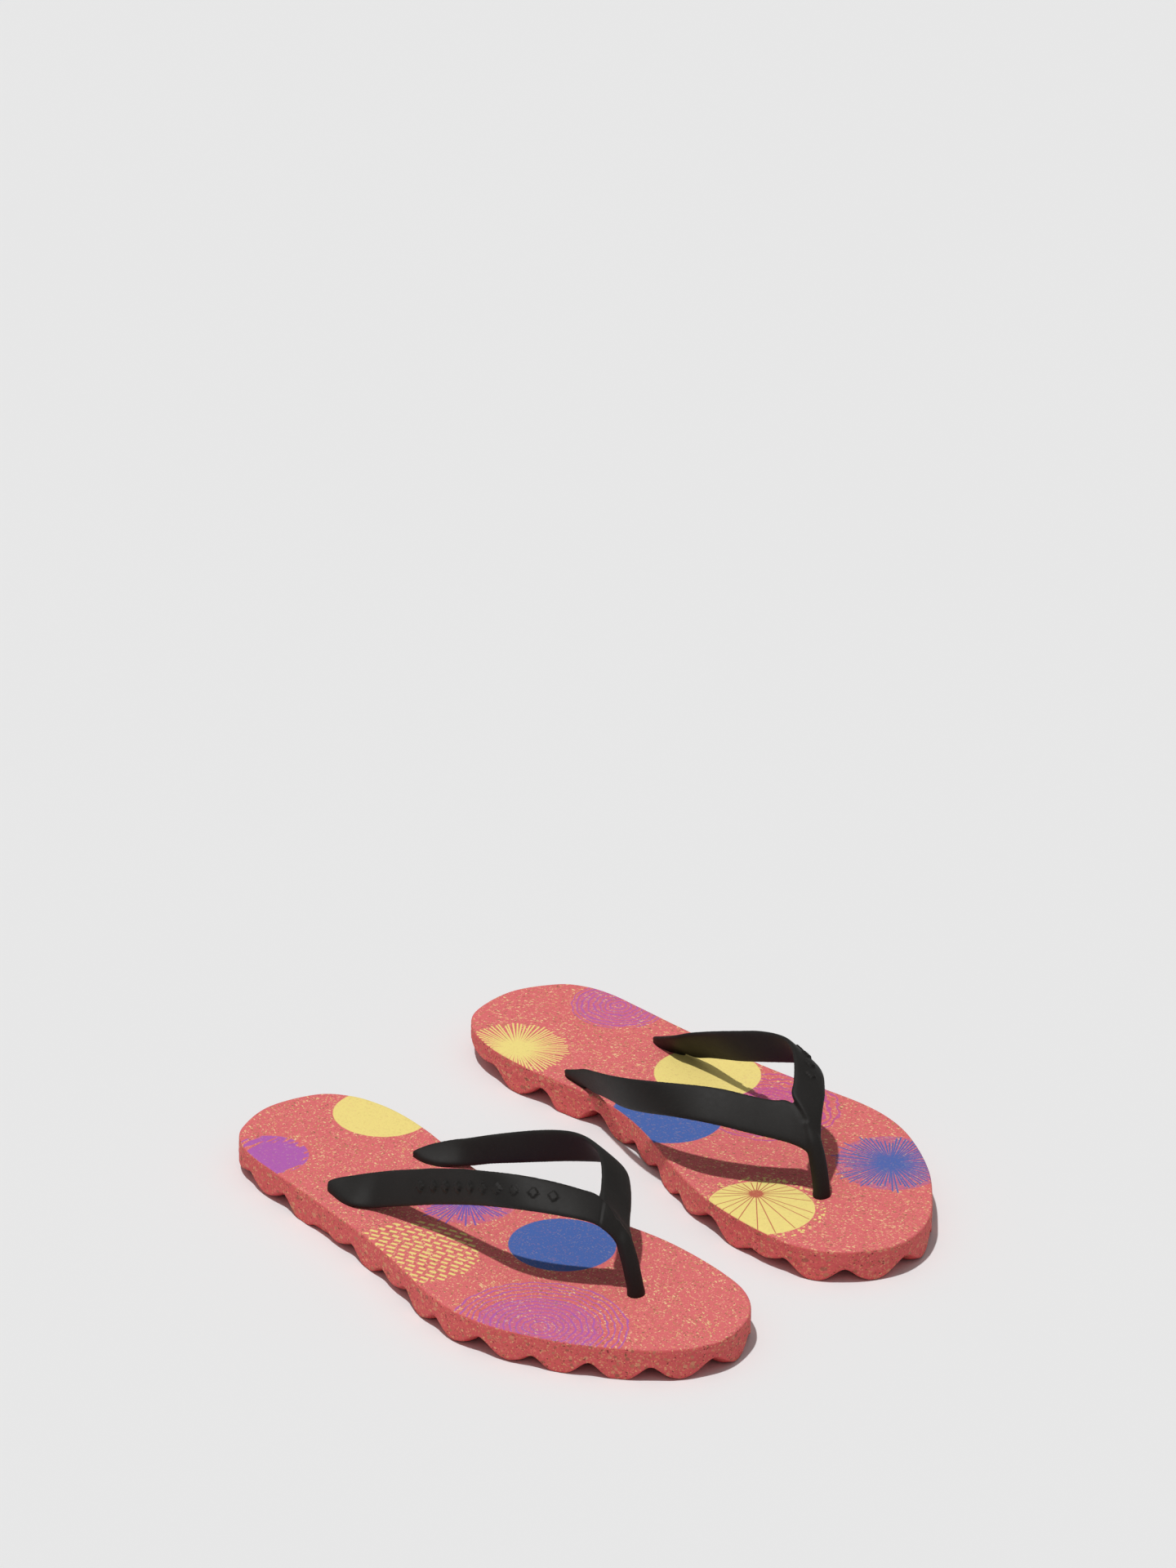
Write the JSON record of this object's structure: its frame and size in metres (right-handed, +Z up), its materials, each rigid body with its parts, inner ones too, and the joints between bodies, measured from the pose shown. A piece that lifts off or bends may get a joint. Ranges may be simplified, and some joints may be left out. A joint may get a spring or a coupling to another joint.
{
  "type": "pair of thong sandals",
  "caption": "Pair of flip-flops: flat cork-rubber footbeds with a scalloped, mounded tread, and moulded Y straps with a toe post, flexing at the ball of the foot.",
  "frame": {"origin": "on the ground, at the middle of the pair's bounding box", "axes": "+X towards the toes, +Y to the wearer's left, +Z up"},
  "size_m": [0.2634, 0.2324, 0.054],
  "materials": {
    "cork_sole": "matt",
    "strap_rubber": "satin"
  },
  "bodies": {
    "right_forefoot": {"right_sole_forefoot": "cork_sole", "right_toe_plug": "strap_rubber"},
    "right_heel": {"right_sole_heel": "cork_sole", "right_outer_plug": "strap_rubber", "right_inner_plug": "strap_rubber"},
    "right_strap": {"right_strap": "strap_rubber"},
    "left_forefoot": {"left_sole_forefoot": "cork_sole", "left_toe_plug": "strap_rubber"},
    "left_heel": {"left_sole_heel": "cork_sole", "left_outer_plug": "strap_rubber", "left_inner_plug": "strap_rubber"},
    "left_strap": {"left_strap": "strap_rubber"}
  },
  "joints": [
    {"name": "right_flex", "type": "hinge", "parent": "right_forefoot", "child": "right_heel", "pos_m": [0.0592, -0.06018, 0.0135], "axis": [-0.0638, 0.998, 0], "range_deg": [0, 30], "stiffness_Nm_per_rad": 0.8},
    {"name": "right_strap_tilt", "type": "hinge", "parent": "right_heel", "child": "right_strap", "pos_m": [-0.04559, -0.06688, 0.0135], "axis": [-0.0638, 0.998, 0], "range_deg": [-6.5, 0.5]},
    {"name": "left_lift", "type": "slide", "parent": "right_forefoot", "child": "left_forefoot", "axis": [0, 0, 1], "range_m": [0, 0.12]},
    {"name": "left_flex", "type": "hinge", "parent": "left_forefoot", "child": "left_heel", "pos_m": [0.0452, 0.06018, 0.0135], "axis": [0.0638, 0.998, 0], "range_deg": [0, 30], "stiffness_Nm_per_rad": 0.8},
    {"name": "left_strap_tilt", "type": "hinge", "parent": "left_heel", "child": "left_strap", "pos_m": [-0.05959, 0.06688, 0.0135], "axis": [0.0638, 0.998, 0], "range_deg": [-6.5, 0.5]}
  ],
  "couplings": [
    {"joint": "right_strap_tilt", "follows": "right_flex", "ratio": -0.205},
    {"joint": "left_strap_tilt", "follows": "left_flex", "ratio": -0.205}
  ]
}
